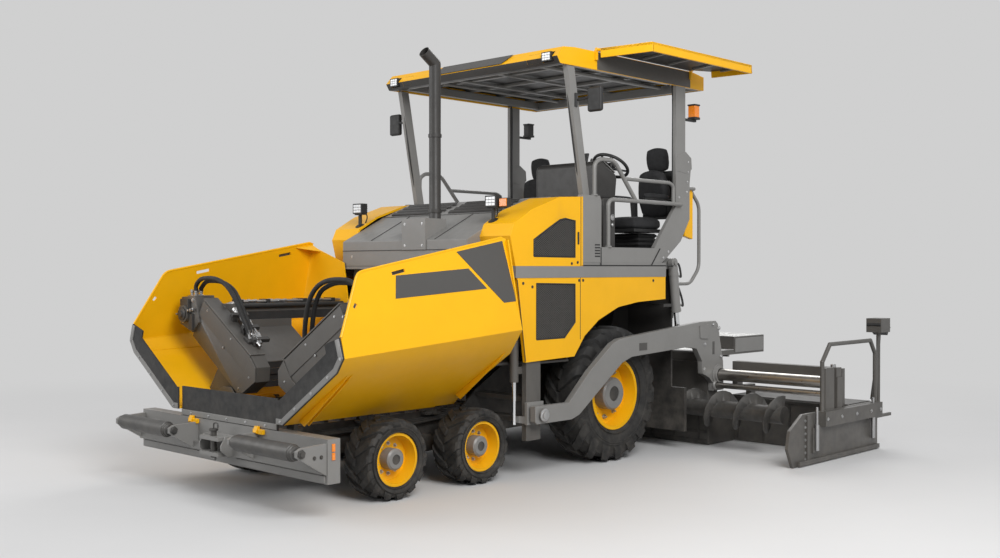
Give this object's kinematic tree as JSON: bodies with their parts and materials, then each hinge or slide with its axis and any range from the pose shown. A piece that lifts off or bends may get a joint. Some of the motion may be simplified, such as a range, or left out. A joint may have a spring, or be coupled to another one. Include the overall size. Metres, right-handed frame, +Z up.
{
  "type": "wheeled road paver",
  "caption": "Wheeled road paver with a folding-wing hopper, steered tandem front wheels, driven rear wheels, a canopied operator deck and an extending towed screed.",
  "frame": {"origin": "on the ground under the middle of the whole machine's box", "axes": "+X ahead, towards the push rollers; +Y to the machine's left; +Z up"},
  "size_m": [6.4946, 5.17, 3.828],
  "materials": {
    "black": "matte",
    "dark": "satin",
    "grey": "satin",
    "iron": "matte",
    "rubber": "matte",
    "seat": "matte",
    "steel": "polished",
    "tyre": "matte",
    "yellow": "satin"
  },
  "bodies": {
    "chassis": {"main_frame": "dark", "bulkheads": "dark", "wheel_houses": "dark", "wing_hinges": "dark", "engine_block": "iron", "engine_hood": "grey", "body_panels": "yellow", "platform_deck": "grey", "console": "black", "seats": "seat", "canopy_posts": "grey", "canopy_roof": "yellow", "exhaust_stack": "grey", "handrails_left": "grey", "handrails_right": "grey", "mirrors": "black", "lamps": "black", "push_beam": "grey", "front_bogies": "dark", "rear_axle": "dark", "conveyor": "iron", "tow_guides": "grey", "front_apron": "rubber"},
    "wing_left_body": {"wing_left": "yellow", "wing_arm_left": "grey", "skirt_left": "rubber"},
    "wing_right_body": {"wing_right": "yellow", "wing_arm_right": "grey", "skirt_right": "rubber"},
    "push_roller_left": {"roller_left": "iron"},
    "push_roller_right": {"roller_right": "iron"},
    "steer_front_left": {"knuckle_front_left": "dark"},
    "steer_front_right": {"knuckle_front_right": "dark"},
    "steer_mid_left": {"knuckle_mid_left": "dark"},
    "steer_mid_right": {"knuckle_mid_right": "dark"},
    "wheel_front_left": {"tyre_front_left": "tyre", "rim_front_left": "yellow"},
    "wheel_front_right": {"tyre_front_right": "tyre", "rim_front_right": "yellow"},
    "wheel_mid_left": {"tyre_mid_left": "tyre", "rim_mid_left": "yellow"},
    "wheel_mid_right": {"tyre_mid_right": "tyre", "rim_mid_right": "yellow"},
    "wheel_rear_left": {"tyre_rear_left": "tyre", "rim_rear_left": "yellow"},
    "wheel_rear_right": {"tyre_rear_right": "tyre", "rim_rear_right": "yellow"},
    "tow_points": {"tow_sliders": "steel"},
    "screed": {"tow_arms": "grey", "screed_main": "grey"},
    "extension_left": {"screed_ext_left": "grey", "end_gate_left": "grey"},
    "extension_right": {"screed_ext_right": "grey", "end_gate_right": "grey"},
    "lift_barrel": {"lift_barrels": "grey"},
    "lift_rod": {"lift_rods": "steel"},
    "spreader_left": {"auger_left": "iron"},
    "spreader_right": {"auger_right": "iron"},
    "canopy_flap_left": {"flap_left": "yellow"},
    "canopy_flap_right": {"flap_right": "yellow"}
  },
  "joints": [
    {"name": "wing_fold_left", "type": "hinge", "parent": "chassis", "child": "wing_left_body", "pos_m": [2.01275, 0.64, 0.655], "axis": [1, 0, 0], "range_deg": [-15, 25]},
    {"name": "push_roller_turn_left", "type": "hinge", "parent": "chassis", "child": "push_roller_left", "pos_m": [3.18475, 0.845, 0.51], "axis": [0, 1, 0], "continuous": true},
    {"name": "steer_front_left_turn", "type": "hinge", "parent": "chassis", "child": "steer_front_left", "pos_m": [2.10975, 0.69, 0.317], "axis": [0, 0, 1], "range_deg": [-22, 22]},
    {"name": "wheel_front_left_spin", "type": "hinge", "parent": "steer_front_left", "child": "wheel_front_left", "pos_m": [2.10975, 0.91, 0.317], "axis": [0, 1, 0], "continuous": true},
    {"name": "steer_mid_left_turn", "type": "hinge", "parent": "chassis", "child": "steer_mid_left", "pos_m": [1.17975, 0.69, 0.317], "axis": [0, 0, 1], "range_deg": [-15, 15]},
    {"name": "wheel_mid_left_spin", "type": "hinge", "parent": "steer_mid_left", "child": "wheel_mid_left", "pos_m": [1.17975, 0.91, 0.317], "axis": [0, 1, 0], "continuous": true},
    {"name": "wheel_rear_left_spin", "type": "hinge", "parent": "chassis", "child": "wheel_rear_left", "pos_m": [-0.48725, 0.965, 0.63], "axis": [0, 1, 0], "continuous": true},
    {"name": "spreader_turn_left", "type": "hinge", "parent": "chassis", "child": "spreader_left", "pos_m": [-1.68725, 1.1, 0.412], "axis": [0, 1, 0], "continuous": true},
    {"name": "extension_slide_left", "type": "slide", "parent": "screed", "child": "extension_left", "axis": [0, 1, 0], "range_m": [-0.28, 0]},
    {"name": "canopy_flap_fold_left", "type": "hinge", "parent": "chassis", "child": "canopy_flap_left", "pos_m": [-0.88725, 1.172, 3.78], "axis": [1, 0, 0], "range_deg": [0, 140]},
    {"name": "wing_fold_right", "type": "hinge", "parent": "chassis", "child": "wing_right_body", "pos_m": [2.01275, -0.64, 0.655], "axis": [-1, 0, 0], "range_deg": [-15, 25]},
    {"name": "push_roller_turn_right", "type": "hinge", "parent": "chassis", "child": "push_roller_right", "pos_m": [3.18475, -0.845, 0.51], "axis": [0, 1, 0], "continuous": true},
    {"name": "steer_front_right_turn", "type": "hinge", "parent": "chassis", "child": "steer_front_right", "pos_m": [2.10975, -0.69, 0.317], "axis": [0, 0, 1], "range_deg": [-22, 22]},
    {"name": "wheel_front_right_spin", "type": "hinge", "parent": "steer_front_right", "child": "wheel_front_right", "pos_m": [2.10975, -0.91, 0.317], "axis": [0, 1, 0], "continuous": true},
    {"name": "steer_mid_right_turn", "type": "hinge", "parent": "chassis", "child": "steer_mid_right", "pos_m": [1.17975, -0.69, 0.317], "axis": [0, 0, 1], "range_deg": [-15, 15]},
    {"name": "wheel_mid_right_spin", "type": "hinge", "parent": "steer_mid_right", "child": "wheel_mid_right", "pos_m": [1.17975, -0.91, 0.317], "axis": [0, 1, 0], "continuous": true},
    {"name": "wheel_rear_right_spin", "type": "hinge", "parent": "chassis", "child": "wheel_rear_right", "pos_m": [-0.48725, -0.965, 0.63], "axis": [0, 1, 0], "continuous": true},
    {"name": "spreader_turn_right", "type": "hinge", "parent": "chassis", "child": "spreader_right", "pos_m": [-1.68725, -1.1, 0.412], "axis": [0, 1, 0], "continuous": true},
    {"name": "extension_slide_right", "type": "slide", "parent": "screed", "child": "extension_right", "axis": [0, -1, 0], "range_m": [-0.28, 0]},
    {"name": "canopy_flap_fold_right", "type": "hinge", "parent": "chassis", "child": "canopy_flap_right", "pos_m": [-0.88725, -1.172, 3.78], "axis": [-1, 0, 0], "range_deg": [0, 140]},
    {"name": "tow_point_height", "type": "slide", "parent": "chassis", "child": "tow_points", "axis": [0, 0, 1], "range_m": [-0.13, 0.13]},
    {"name": "screed_lift", "type": "hinge", "parent": "tow_points", "child": "screed", "pos_m": [0.69275, 0, 0.556], "axis": [0, 1, 0], "range_deg": [0, 6.5]},
    {"name": "lift_barrel_swing", "type": "hinge", "parent": "chassis", "child": "lift_barrel", "pos_m": [-1.37725, 0, 1.85], "axis": [0, 1, 0], "range_deg": [-7, 2]},
    {"name": "lift_rod_stroke", "type": "slide", "parent": "lift_barrel", "child": "lift_rod", "axis": [-0.1194, 0, -0.9928], "range_m": [-0.26, 0.02]}
  ],
  "couplings": [
    {"joint": "steer_mid_left_turn", "follows": "steer_front_left_turn", "ratio": 0.66},
    {"joint": "steer_front_right_turn", "follows": "steer_front_left_turn", "ratio": 1},
    {"joint": "steer_mid_right_turn", "follows": "steer_front_left_turn", "ratio": 0.66},
    {"joint": "lift_barrel_swing", "follows": "screed_lift", "ratio": -0.6688},
    {"joint": "lift_rod_stroke", "follows": "screed_lift", "m_per_rad": -2.1773}
  ]
}
